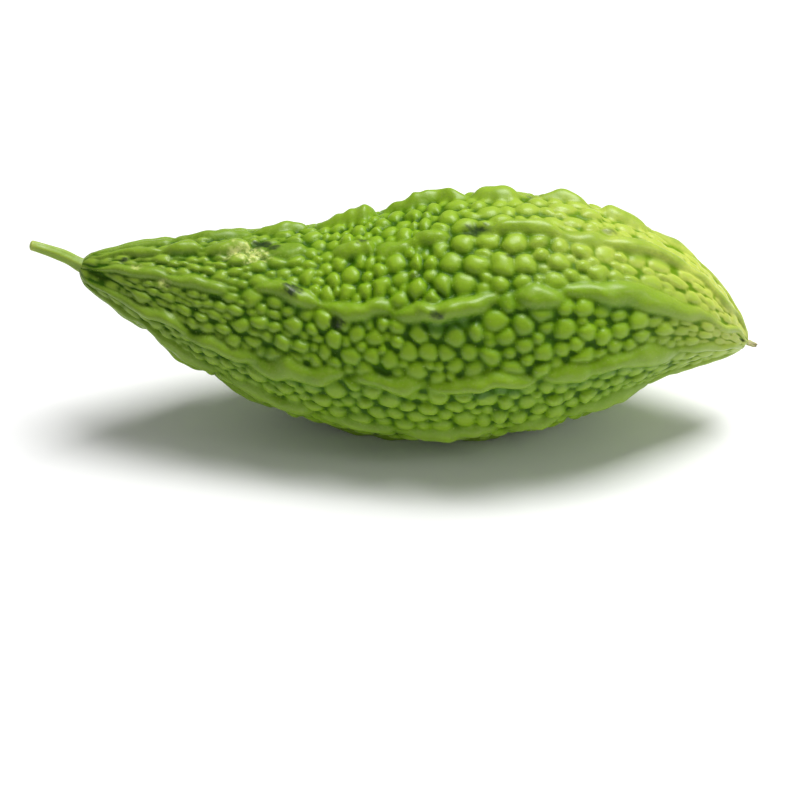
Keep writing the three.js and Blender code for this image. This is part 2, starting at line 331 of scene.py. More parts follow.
@dataclass(frozen=True)
class Ridge:
    """A chain of long lumps on a low joining ridge. Each lump is (start, stop, height, degrees aside). It
    rises slowly from the stem's side and drops off steeply, and it has a width and a slant of its own."""

    even_angle: float
    lumps: tuple[tuple[float, float, float, float], ...]
    seed: int
    overrun: float = 1.12
    peak: float = 0.6
    joining_height: float = 0.19
    joining_width: float = 0.85
    narrowest: float = 0.7
    most_slant: float = 0.12
    room: float = 0.29
    dome: float = 0.62
    length: float = Spindle.length

    def crest_angle(self, t: Array) -> Array:
        """The crest line's angle, which eases from the middle of one lump to the middle of the next.

        Args:
            t: Shares of the length.

        Returns:
            Angles in radians.
        """
        start, stop, _, aside = np.array(self.lumps).T
        middles = (start + stop) / 2
        angles = self.even_angle + np.radians(aside)
        after = np.clip(np.searchsorted(middles, t, side="right"), 1, len(middles) - 1)
        ease = smoothstep(t, middles[after - 1], middles[after])
        return angles[after - 1] + ease * (angles[after] - angles[after - 1])

    def share(self, t: Array, angle: Array, radius: Array, half_width: float, count: int) -> Array:
        """The ridge's height. Each lump is one less the square of the way from its peak to its stem side or
        the cube of the way to its other side, and less the square of the way across, to the power of dome.
        The way across leans with the lump's slant. The joining ridge has only the way across.

        Args:
            t: Shares of the length.
            angle: Angles.
            radius: The furrow floor's radius there.
            half_width: The widest that half the ridge may be.
            count: How many ridges share the girth.

        Returns:
            Shares of the tallest ridge's height.
        """
        width = np.minimum(half_width, self.room * TURN * radius / count)
        across = wrapped(angle - self.crest_angle(t)) * radius
        joint = np.maximum(1 - (across / (self.joining_width * width)) ** 2, 0)
        share = self.joining_height * joint**self.dome
        draws = NumberStream(self.seed).draw(2 * len(self.lumps)).reshape(-1, 2)
        for (start, stop, height, _), (wide, slant) in zip(self.lumps, draws):
            half = (stop - start) / 2 * self.overrun
            first = (start + stop) / 2 - half
            top = first + 2 * half * self.peak
            before = np.maximum(top - t, 0) / (top - first)
            after = np.maximum(t - top, 0) / (first + 2 * half - top)
            lean = self.most_slant * (2 * slant - 1) * (t - top) * self.length * width / half_width
            wide_share = self.narrowest + (1 - self.narrowest) * wide
            aside = ((across - lean) / (wide_share * width)) ** 2
            lump = height * np.maximum(1 - before**2 - after**3 - aside, 0) ** self.dome
            share = np.maximum(share, lump)
        return share


# The lumps of the first five ridges, each ridge's from the stem end to the blossom end.
FACING_LUMPS = (
    (
        (0, 0.12, 0.75, 4), (0.11, 0.23, 0.7, 0), (0.23, 0.31, 0.85, 0), (0.325, 0.44, 1.2, 0),
        (0.455, 0.595, 1.2, -4), (0.6, 0.665, 1.2, 2), (0.685, 0.75, 1, -3), (0.765, 0.82, 1.05, 0),
        (0.82, 0.89, 0.9, 3), (0.88, 1.02, 0.8, 0),
    ),
    (
        (0, 0.11, 0.9, -8), (0.1, 0.16, 0.95, -8), (0.16, 0.23, 0.9, -10), (0.25, 0.31, 0.6, -8),
        (0.35, 0.44, 0.9, -3), (0.44, 0.5, 0.6, 0), (0.49, 0.57, 0.85, -2), (0.61, 0.72, 1, -3),
        (0.71, 0.77, 0.6, 0), (0.75, 0.88, 1, -5), (0.86, 1.02, 0.9, 0),
    ),
    (
        (0, 0.12, 0.8, -8), (0.11, 0.21, 0.7, -5), (0.24, 0.34, 0.9, -10), (0.33, 0.47, 0.85, -4),
        (0.46, 0.62, 1, 0), (0.64, 0.71, 0.85, -3), (0.7, 0.9, 0.95, -3), (0.88, 1.02, 0.8, 0),
    ),
    (
        (0, 0.17, 0.9, 6), (0.15, 0.27, 0.85, 8), (0.25, 0.39, 0.9, 2), (0.4, 0.5, 0.8, -2),
        (0.51, 0.66, 1, 0), (0.67, 0.75, 0.8, 3), (0.73, 0.88, 0.9, 0), (0.87, 1.02, 0.8, 0),
    ),
    (
        (0, 0.1, 0.8, 0), (0.09, 0.22, 0.8, 4), (0.23, 0.36, 0.85, 0), (0.37, 0.46, 0.9, -3),
        (0.46, 0.6, 1, 0), (0.61, 0.7, 0.85, 3), (0.7, 0.85, 0.9, 0), (0.84, 1.02, 0.8, 0),
    ),
)


@dataclass
class RidgeSet:
    """The ten ridges. The first five run from just past the top down the -Y side, and are set out lump by
    lump. The others are drawn at random."""

    count: int = 10
    height: float = 4.9
    half_width: float = 4.3
    shortest: float = 0.07
    longest: float = 0.18
    least_height: float = 0.85
    most_aside: float = 5
    seed: int = 7919
    shape_seed: int = 104729
    ridges: list[Ridge] = field(init=False)

    def __post_init__(self) -> None:
        """Makes the ridges, two of them straddling the top and two the bottom."""
        self.ridges = []
        for index in range(self.count):
            lumps = FACING_LUMPS[index] if index < len(FACING_LUMPS) else self.far_lumps(index)
            self.ridges.append(Ridge(TURN * (index - 0.5) / self.count, lumps, self.shape_seed + index))

    def far_lumps(self, index: int) -> tuple[tuple[float, float, float, float], ...]:
        """Draws the lumps of a ridge that is on the far side or underneath.

        Args:
            index: Which ridge it is.

        Returns:
            Its lumps, end to end.
        """
        stream = NumberStream(self.seed * (index + 1))
        lumps = []
        start = 0.0
        while start < 1:
            length, height, aside = stream.draw(3)
            stop = start + self.shortest + length * (self.longest - self.shortest)
            tall = self.least_height + height * (1 - self.least_height)
            lumps.append((start, stop, tall, self.most_aside * (2 * aside - 1)))
            start = stop
        return tuple(lumps)

    def share(self, t: Array, angle: Array, radius: Array) -> Array:
        """The height of whichever ridge is tallest at each place.

        Args:
            t: Shares of the length.
            angle: Angles.
            radius: The furrow floor's radius there.

        Returns:
            Shares of the tallest ridge's height.
        """
        shares = (r.share(t, angle, radius, self.half_width, self.count) for r in self.ridges)
        return np.maximum.reduce(list(shares))


@dataclass(frozen=True)
class WartSize:
    """One size of wart: its radius at the belly in millimetres, and how many places are tried for it."""

    radius: float
    tries: int


@dataclass
class WartField:
    """Round, oval and bean-shaped warts packed into the furrows, the largest first."""

    spindle: Spindle
    ridges: RidgeSet
    sizes: tuple[WartSize, ...] = (
        WartSize(3.4, 700),
        WartSize(3.0, 1800),
        WartSize(2.6, 3500),
        WartSize(2.3, 5000),
        WartSize(2.0, 7000),
        WartSize(1.7, 9000),
        WartSize(1.4, 9000),
    )
    packing: float = 0.82
    clearance: float = 0.2
    least_scale: float = 0.45
    end_stretch: float = 0.8
    dome: float = 0.5
    crease_sharpness: float = 4.5
    reach: float = 2.6
    seed: int = 20347
    shape_seed: int = 5
    most_oval: float = 0.4
    circle: float = 2.1
    neighbours: int = 5
    most_growth: float = 1.6
    warp: float = 0.2
    warps: tuple[Ripple, Ripple] = (Ripple(4.0, 11), Ripple(4.0, 12))
    t: Array = field(init=False)
    angle: Array = field(init=False)
    radius: Array = field(init=False)
    stretch: Array = field(init=False)
    floor: Array = field(init=False)

    def __post_init__(self) -> None:
        """Packs the warts: each stays where it clears the ridges and the warts before it."""
        stream = NumberStream(self.seed)
        packed = np.empty((sum(size.tries for size in self.sizes), 5))
        count = 0
        for size in self.sizes:
            t, turn, chance = stream.draw(3 * size.tries).reshape(-1, 3).T
            floor = self.spindle.floor_radius(t)
            slim = floor / self.spindle.belly_radius
            radius = size.radius * np.maximum(slim, self.least_scale)
            stretch = 1 + self.end_stretch * (1 - slim)
            free = self.ridges.share(t, TURN * turn, floor) <= self.clearance
            tried = np.stack([t, TURN * turn, radius, stretch, floor], axis=-1)
            for candidate in tried[free & (chance <= slim)]:
                if self.clears(packed[:count], candidate):
                    packed[count] = candidate
                    count += 1
        self.t, self.angle, self.radius, self.stretch, self.floor = packed[:count].T
        self.radius = self.radius * self.growth()
        LOG.info("packed %d warts", count)

    def growth(self) -> Array:
        """How much each wart grows to fill the room round it: the mean of its gaps to its nearest neighbours,
        each as a share of the two radii.

        Returns:
            A factor for each wart.
        """
        along = np.subtract.outer(self.t, self.t) * (self.spindle.length / self.stretch)
        around = wrapped(np.subtract.outer(self.angle, self.angle)) * self.floor
        gaps = np.hypot(along, around) / np.add.outer(self.radius, self.radius)
        np.fill_diagonal(gaps, np.inf)
        room = np.sort(gaps, axis=1)[:, : self.neighbours].mean(axis=1)
        return np.clip(room, self.packing, self.most_growth)

    def clears(self, packed: Array, candidate: Array) -> bool:
        """Tells whether a new wart is far enough from all those already there.

        Args:
            packed: The warts that are there, one to a row.
            candidate: The new one.

        Returns:
            True where it clears them.
        """
        t, angle, radius, stretch, floor = packed.T
        along = (candidate[0] - t) * self.spindle.length / stretch
        around = wrapped(candidate[1] - angle) * floor
        return bool(np.all(np.hypot(along, around) >= self.packing * (radius + candidate[2])))

    def cells(self, grid: SkinGrid) -> tuple[Array, Array, Array]:
        """Shares the skin out among the warts. A place belongs to the wart that is nearest in that wart's own
        radii, measured as an oval that lies at a random slant. Places are first moved a little by a smooth
        field, so that the creases wander.

        Args:
            grid: The places.

        Returns:
            The distances to the nearest wart and to the second nearest, and which wart is nearest.
        """
        length = self.spindle.length
        moved_t, moved_angle = grid.moved(self.warp, self.warps)
        random = np.random.default_rng(self.shape_seed)
        oval = np.sqrt(1 + self.most_oval * random.uniform(size=self.t.size))
        slant = random.uniform(0, np.pi, self.t.size)
        nearest = np.full(moved_t.shape, self.reach)
        second = nearest.copy()
        owner = np.zeros(nearest.shape, int)
        total = grid.angle.size
        step = TURN / total
        for i in range(self.t.size):
            far = self.reach * self.radius[i] * oval[i] + 2 * self.warp
            ends = self.t[i] + np.array([-1, 1]) * far * self.stretch[i] / length
            rows = slice(*np.searchsorted(grid.t, ends))
            half = min(int(far / (self.floor[i] * step)) + 1, total // 2)
            first = round(self.angle[i] / step) - half
            columns = np.arange(first, first + min(2 * half + 1, total)) % total
            along = (moved_t[rows, columns] - self.t[i]) * length / self.stretch[i]
            around = wrapped(moved_angle[rows, columns] - self.angle[i]) * self.floor[i]
            cos, sin = math.cos(slant[i]), math.sin(slant[i])
            wide = (along * cos + around * sin) / oval[i]
            tall = (around * cos - along * sin) * oval[i]
            distance = np.hypot(wide, tall) / self.radius[i]
            near = nearest[rows, columns]
            closer = distance < near
            second[rows, columns] = np.where(closer, near, np.minimum(second[rows, columns], distance))
            nearest[rows, columns] = np.where(closer, distance, near)
            owner[rows, columns] = np.where(closer, i, owner[rows, columns])
        return nearest, second, owner

    def dome_share(self, nearest: Array, second: Array) -> Array:
        """A wart's height, to the power of dome: one less the square of the way to its circle, times one less
        a power of how nearly two warts are as near, which cuts a narrow crease between them.

        Args:
            nearest: Distances to the nearest wart.
            second: Distances to the second nearest.

        Returns:
            Shares of the wart's height.
        """
        to_crease = 1 - (second - nearest) / (second + nearest)
        to_circle = np.minimum(nearest / self.circle, 1)
        return ((1 - to_circle**2) * (1 - to_crease**self.crease_sharpness)) ** self.dome


class MarkKind(Enum):
    """What a blemish on the skin is."""

    BRUISE = "bruise"
    SCAR = "scar"


@dataclass(frozen=True)
class Mark:
    """A blemish: its place as a share of the length and degrees from the top, and half its length in mm."""

    t: float
    degrees: float
    size: float
    kind: MarkKind = MarkKind.BRUISE
    slimness: float = 1.7
    strength: float = 1.0


MARKS = (
    Mark(0.418, 12, 3.0),
    Mark(0.295, 42, 3.6),
    Mark(0.375, 58, 3.3),
    Mark(0.54, 55, 2.6),
    Mark(0.605, 15, 3.9),
    Mark(0.508, 35, 2.2, strength=0.6),
    Mark(0.245, 4, 3.6),
    Mark(0.26, 10, 2.1),
    Mark(0.642, 31, 1.6, strength=0.8),
    Mark(0.685, -20, 2.2, strength=0.6),
    Mark(0.775, 9, 2.1, strength=0.6),
    Mark(0.06, 27, 1.6),
    Mark(0.985, 62, 1.4, slimness=3),
    Mark(0.225, 16, 7.0, MarkKind.SCAR, slimness=2.4),
    Mark(0.12, 55, 2.2, MarkKind.SCAR, strength=0.7),
    Mark(0.078, 38, 1.8, MarkKind.SCAR, strength=0.7),
    Mark(0.43, 150, 3.3),
    Mark(0.66, -110, 3.2),
    Mark(0.3, -70, 2.9),
    Mark(0.52, -140, 3.0, strength=0.7),
    Mark(0.36, -95, 3.4, MarkKind.SCAR, strength=0.6),
)


@dataclass(frozen=True)
class Hollow:
    """A hollow in the skin beside the stem, darkened by painted shade: its place, and its depth and half
    sizes in millimetres.
    """

    t: float = 0.03
    degrees: float = 73
    depth: float = 2.3
    half_length: float = 4
    half_width: float = 1.8

    def share(self, grid: SkinGrid) -> Array:
        """A bell: e to the power of less the squares of the ways along and round, over the half sizes."""
        along, around = grid.ways(self.t, self.degrees)
        return np.exp(-((along / self.half_length) ** 2) - (around / self.half_width) ** 2)


@dataclass(frozen=True)
class Tones:
    """Turns the skin's shape into shares from 0 to 1 that its finish reads as painted shade in the creases, a
    painted highlight on the crowns, and painted shade under what overhangs.
    """

    ridge_power: float = 0.5
    crease_gain: float = 3.4
    crease_power: float = 2.5
    sink_passes: int = 12
    crease_per_sink: float = 0.25
    crease_in_hollow: float = 0.7
    crown_power: int = 3
    crown_per_sink: float = 0.2
    shade_steps: int = 6
    shade_range: tuple[float, float] = (0.5, 3.3)

    def values(self, height: Array, dome: Array, rise: Array, pit: Array, angle: Array) -> dict[str, Array]:
        """Works out the shares. The top is the higher of the dome and a power of the ridge's rise. The sink
        is how far the blurred height lies above the height.

            crease = crease_gain (1 - top) ** crease_power + crease_per_sink sink + crease_in_hollow pit
            crown = top ** crown_power - crown_per_sink sink

        Args:
            height: Heights above the furrow floor, by row and column.
            dome: The wart's share of its own height at each place.
            rise: The ridge's share of the tallest ridge's height.
            pit: The hollow's share of its depth.
            angle: Angles, one to a column.

        Returns:
            The shares by name.
        """
        top = softened(np.maximum(dome, rise**self.ridge_power), 1)
        sink = softened(height, self.sink_passes) - height
        # Painted shade: darker in the creases, in the broad sinks beside the ridges, and in the hollow by the
        # stem.
        crease = self.crease_gain * (1 - top) ** self.crease_power
        crease = crease + self.crease_per_sink * sink + self.crease_in_hollow * pit
        return {
            "crease": np.clip(crease, 0, 1),
            # The crown share is a painted highlight on the tops of warts and ridges, less where the skin
            # sinks.
            "crown_highlight": np.clip(top**self.crown_power - self.crown_per_sink * sink, 0, 1),
            # The shade share is painted shade under the skin that overhangs nearer the top.
            "shade": smoothstep(self.overhang(softened(height, 1), angle), *self.shade_range),
        }

    def overhang(self, height: Array, angle: Array) -> Array:
        """How far the skin a few columns nearer the top stands out over each place, which sets the painted
        shade there.

        Args:
            height: Heights above the furrow floor, by row and column.
            angle: Angles, one to a column.

        Returns:
            Millimetres, by row and column.
        """
        steps = range(1, self.shade_steps + 1)
        before = np.max([np.roll(height, step, axis=1) for step in steps], axis=0)
        after = np.max([np.roll(height, -step, axis=1) for step in steps], axis=0)
        return np.where(np.sin(angle) > 0, before, after) - height


@dataclass
class Fruit:
    """The whole warty fruit, one piece that grew as one."""

    spindle: Spindle
    ridges: RidgeSet
    warts: WartField
    hollow: Hollow = Hollow()
    tones: Tones = Tones()
    marks: tuple[Mark, ...] = MARKS
    rows: int = 290
    columns: int = 342
    edge_rows: int = 6
    seed: int = 3
    wart_height: float = 2.9
    wart_height_spread: float = 0.25
    wart_height_power: float = 0.4
    wart_lift: float = 0.2
    wart_fade: float = 0.85
    wart_fade_range: tuple[float, float] = (0.05, 0.5)
    joint: float = 0.1
    ridge_swell: float = 0.1
    ridge_sway: float = 0.7
    swell: Ripple = Ripple(7.0, 13)
    sways: tuple[Ripple, Ripple] = (Ripple(11.0, 14), Ripple(11.0, 15))
    ridge_stands_out: float = 1.2
    least_relief: tuple[float, float] = (0.6, 0.3)
    relief_gain: float = 2.6
    relief_limit: float = 0.3
    frays: tuple[tuple[float, Ripple], ...] = ((0.22, Ripple(2.4, 21)), (0.1, Ripple(1.1, 22)))
    mark_edge: tuple[float, float] = (1.2, 0.35)
    values: dict[str, Array] = field(init=False, default_factory=dict)

    def row_shares(self) -> Array:
        """The rows' places: even between the rounded ends, and closing up like a cosine towards each pole."""
        edge = quarter_sines(self.edge_rows)
        first = self.spindle.collar_rounding / self.spindle.length
        last = 1 - self.spindle.tip_rounding / self.spindle.length
        collar = first * (1 - edge[::-1])
        tip = last + (1 - last) * edge
        return np.concatenate([collar, np.linspace(first, last, self.rows - 2 * self.edge_rows), tip])

    def relief_share(self, grid: SkinGrid) -> Array:
        """How far ridges and warts stand up, as a share: all the way at the belly, less towards both ends,
        and never more than relief_limit of the floor's radius."""
        at_stem, at_tip = self.least_relief
        slopes = np.minimum(
            at_stem + self.relief_gain * grid.along, at_tip + self.relief_gain * (1 - grid.along)
        )
        return np.minimum(np.minimum(1, slopes), self.relief_limit * grid.floor / self.ridges.height)

    def ridge_heights(self, grid: SkinGrid) -> Array:
        """The ridges' heights in millimetres. Ripples make their crests sway and their heights swell."""
        swell = 1 + self.ridge_swell * self.swell.at(grid.points)
        share = self.ridges.share(*grid.moved(self.ridge_sway, self.sways), grid.floor)
        return self.ridges.height * swell * share

    def relief(self, grid: SkinGrid) -> Array:
        """The skin's height above the furrow floor: the taller of the ridge, and the wart standing on a share
        of the ridge, softly joined, less a hollow beside the stem. A wart's height goes with a power of its
        radius, and it fades where the ridge rises. The soft join of two heights is half of: their sum, plus
        the root of their difference squared and the joint squared, less the joint. Notes the values that the
        finish reads.

        Args:
            grid: The places.

        Returns:
            Heights in millimetres, by row and column.
        """
        ridge = self.ridge_heights(grid)
        rise = np.clip(ridge / self.ridges.height, 0, 1)

        nearest, second, owner = self.warts.cells(grid)
        random = np.random.default_rng(self.seed)
        count = self.warts.t.size
        growth = random.uniform(1 - self.wart_height_spread, 1 + self.wart_height_spread, count)
        tint = random.uniform(0, 1, count)
        bulk = self.warts.radius / self.warts.sizes[0].radius
        fade = 1 - self.wart_fade * smoothstep(rise, *self.wart_fade_range)
        dome = self.warts.dome_share(nearest, second) * fade
        wart = self.wart_height * (growth * bulk**self.wart_height_power)[owner] * dome

        flank = wart + self.wart_lift * ridge
        joined = (ridge + flank + np.sqrt((ridge - flank) ** 2 + self.joint**2) - self.joint) / 2
        pit = self.hollow.share(grid)
        height = softened(self.relief_share(grid) * joined, 1) - self.hollow.depth * pit

        self.values = self.tones.values(height, dome, rise, pit, grid.angle)
        self.values["ridge"] = smoothstep(ridge - wart, 0.0, self.ridge_stands_out)
        self.values["tint"] = tint[owner]
        self.values["length_share"] = np.broadcast_to(grid.along, height.shape)
        # The upward share places the painted light on the top near the blossom end.
        self.values["upward"] = np.broadcast_to(np.cos(grid.angle), height.shape)
        return height

    def blemishes(self, kind: MarkKind, grid: SkinGrid, skin: Array) -> Array:
        """How strongly the skin is marked: each mark is an oval whose edge eases off, frayed by ripples.

        Args:
            kind: The kind of mark to take.
            grid: The places.
            skin: The skin's points in millimetres.

        Returns:
            Strengths from 0 to 1, by row and column.
        """
        marked = np.zeros(skin.shape[:2])
        fray = sum(size * ripple.at(skin) for size, ripple in self.frays)
        for mark in (m for m in self.marks if m.kind is kind):
            along, around = grid.ways(mark.t, mark.degrees)
            spread = np.hypot(along / mark.size, around * mark.slimness / mark.size)
            marked = np.maximum(marked, mark.strength * smoothstep(spread + fray, *self.mark_edge))
        return marked

    def build(self, offset: Array) -> bpy.types.Object:
        """Makes the skin on a grid of t and angle, each row a ring round the spine and each end a pole.

        Args:
            offset: Where the stem end of the spine goes, in millimetres.

        Returns:
            The fruit.
        """
        grid = SkinGrid(self.spindle, self.row_shares(), ring_angles(self.columns))
        radius = self.spindle.end_rounding(grid.along) * (grid.floor + self.relief(grid))
        skin = self.spindle.place(*np.broadcast_arrays(grid.along, grid.angle), radius) + offset
        for kind in MarkKind:
            self.values[kind.value] = self.blemishes(kind, grid, skin)
        skin[..., 2] = np.maximum(skin[..., 2], 0)
        poles = self.spindle.spine(np.array([0.0, 1.0]))[0] + offset
        piece = ring_mesh("fruit_skin", skin * MM, poles * MM)
        for name, values in self.values.items():
            add_attribute(piece, name, np.concatenate([values.ravel(), values[0, :1], values[-1, :1]]))
        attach(piece, BODY)
        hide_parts("fruit")
        LOG.info("fruit: %d points", len(piece.data.vertices))
        return piece


# ---------------------------------------------------------------- meshes


def ring_mesh(name: str, rings: Array, poles: Array) -> bpy.types.Object:
    """Makes a closed skin from rings of points and a pole at each end, with triangles round the poles.

    Args:
        name: The piece's name.
        rings: Points in metres, by ring and place round it.
        poles: The points before the first ring and after the last.

    Returns:
        The object, at the origin, smooth shaded.
    """
    count, around = rings.shape[:2]
    here = np.arange(count * around).reshape(count, around)
    beside = np.roll(here, -1, axis=1)
    quads = np.stack([here[:-1], beside[:-1], beside[1:], here[1:]], axis=-1).reshape(-1, 4)
    start = np.full(around, count * around)
    first = np.stack([start, beside[0], here[0]], axis=-1)
    last = np.stack([start + 1, here[-1], beside[-1]], axis=-1)
    mesh = bpy.data.meshes.new(name)
    points = np.concatenate([rings.reshape(-1, 3), poles])
    mesh.from_pydata(points, [], quads.tolist() + first.tolist() + last.tolist())
    mesh.shade_smooth()
    piece = bpy.data.objects.new(name, mesh)
    bpy.context.collection.objects.link(piece)
    return piece


def add_attribute(piece: bpy.types.Object, name: str, values: Array) -> None:
    """Adds a number at each point for a finish to read.

    Args:
        piece: The piece.
        name: The attribute's name.
        values: One number for each point.
    """
    attribute = piece.data.attributes.new(name, "FLOAT", "POINT")
    attribute.data.foreach_set("value", values.astype(np.float32))


def carried(path: Array, radius: Array, columns: int) -> Array:
    """Carries a ring along a path in the XZ plane: the path's point, plus the radius times the direction at
    each angle of the ring.

    Args:
        path: Points of the path.
        radius: The ring's radius by path point and place round it.
        columns: How many places there are round the ring.

    Returns:
        Points by path point and place round it.
    """
    tangent = tangents(path)
    up = np.stack([-tangent[:, 2], np.zeros(len(path)), tangent[:, 0]], axis=-1)
    angle = ring_angles(columns)
    side = np.array([0.0, -1.0, 0.0])
    ring = np.cos(angle)[:, None] * up[:, None, :] + np.sin(angle)[:, None] * side
    return path[:, None, :] + radius[..., None] * ring


# ---------------------------------------------------------------- finishes


class Nodes:
    """Builds one material's nodes, each method adding one node and returning its result."""

    def __init__(self, name: str) -> None:
        """Starts a material that holds only its output and a Principled shader."""
        self.material = bpy.data.materials.new(name)
        self.material.use_nodes = True
        self.tree = self.material.node_tree
        self.shader = self.tree.nodes["Principled BSDF"]

    def add(self, kind: str, inputs: dict[str, object], output: str | int = 0, **settings: object) -> object:
        """Adds a node.

        Args:
            kind: The node's type.
            inputs: What goes into its inputs by name or number: a node's result, or a value.
            output: Which of its results to return.
            settings: The node's own settings.

        Returns:
            The chosen result.
        """
        node = self.tree.nodes.new(kind)
        for name, value in settings.items():
            setattr(node, name, value)
        for key, value in inputs.items():
            self.feed(node.inputs[key], value)
        return node.outputs[output]

    def feed(self, socket: bpy.types.NodeSocket, value: object) -> None:
        """Links a result to an input, or sets the input's value."""
        if isinstance(value, bpy.types.NodeSocket):
            self.tree.links.new(value, socket)
        elif isinstance(value, tuple) and len(value) == 3 and socket.type == "RGBA":
            socket.default_value = (*value, 1)
        else:
            socket.default_value = value

    def attribute(self, name: str) -> object:
        """Reads a number at each point of the mesh."""
        return self.add("ShaderNodeAttribute", {}, "Fac", attribute_name=name)

    def noise(self, size: float, detail: float = 2, roughness: float = 0.5, distortion: float = 0) -> object:
        """Adds noise on object coordinates, whose blotches are about as large as a size in metres."""
        inputs = {"Vector": self.add("ShaderNodeTexCoord", {}, "Object"), "Scale": 1 / size}
        inputs |= {"Detail": detail, "Roughness": roughness, "Distortion": distortion}
        return self.add("ShaderNodeTexNoise", inputs, "Fac")

    def eased(self, value: object, low: float, high: float, to_low: float = 0, to_high: float = 1) -> object:
        """Maps low to high onto to_low to to_high, smoothly."""
        inputs = {"Value": value, "From Min": low, "From Max": high, "To Min": to_low, "To Max": to_high}
        return self.add("ShaderNodeMapRange", inputs, "Result", interpolation_type="SMOOTHSTEP")

    def times(self, first: object, second: object) -> object:
        """Multiplies two numbers."""
        return self.add("ShaderNodeMath", {0: first, 1: second}, operation="MULTIPLY")

    def larger(self, first: object, second: object) -> object:
        """Takes the larger of two numbers."""
        return self.add("ShaderNodeMath", {0: first, 1: second}, operation="MAXIMUM")

    def blend(self, share: object, first: object, second: object) -> object:
        """Blends the second colour into the first by a share."""
        return self.add("ShaderNodeMix", {0: share, 6: first, 7: second}, 2, data_type="RGBA")

    def bump(self, height: object, distance: float, strength: float, normal: object = None) -> object:
        """Bends the shading by a height field.

        Args:
            height: The field, from 0 to 1.
            distance: What 1 stands for, in metres.
            strength: How much of the effect to take.
            normal: A bump to add this one to.

        Returns:
            The bent normal.
        """
        inputs = {"Height": height, "Distance": distance, "Strength": strength}
        if normal is not None:
            inputs["Normal"] = normal
        return self.add("ShaderNodeBump", inputs)

    def finish(self, **inputs: object) -> bpy.types.Material:
        """Feeds the shader's inputs, named with underscores for spaces, and returns the material."""
        for name, value in inputs.items():
            self.feed(self.shader.inputs[name.replace("_", " ")], value)
        return self.material


class Finish(ABC):
    """What a piece is covered with."""

    @abstractmethod
    def material(self) -> bpy.types.Material:
        """Makes the finish."""

    def cover(self, piece: bpy.types.Object) -> None:
        """Covers a piece with the finish."""
        piece.data.materials.append(self.material())


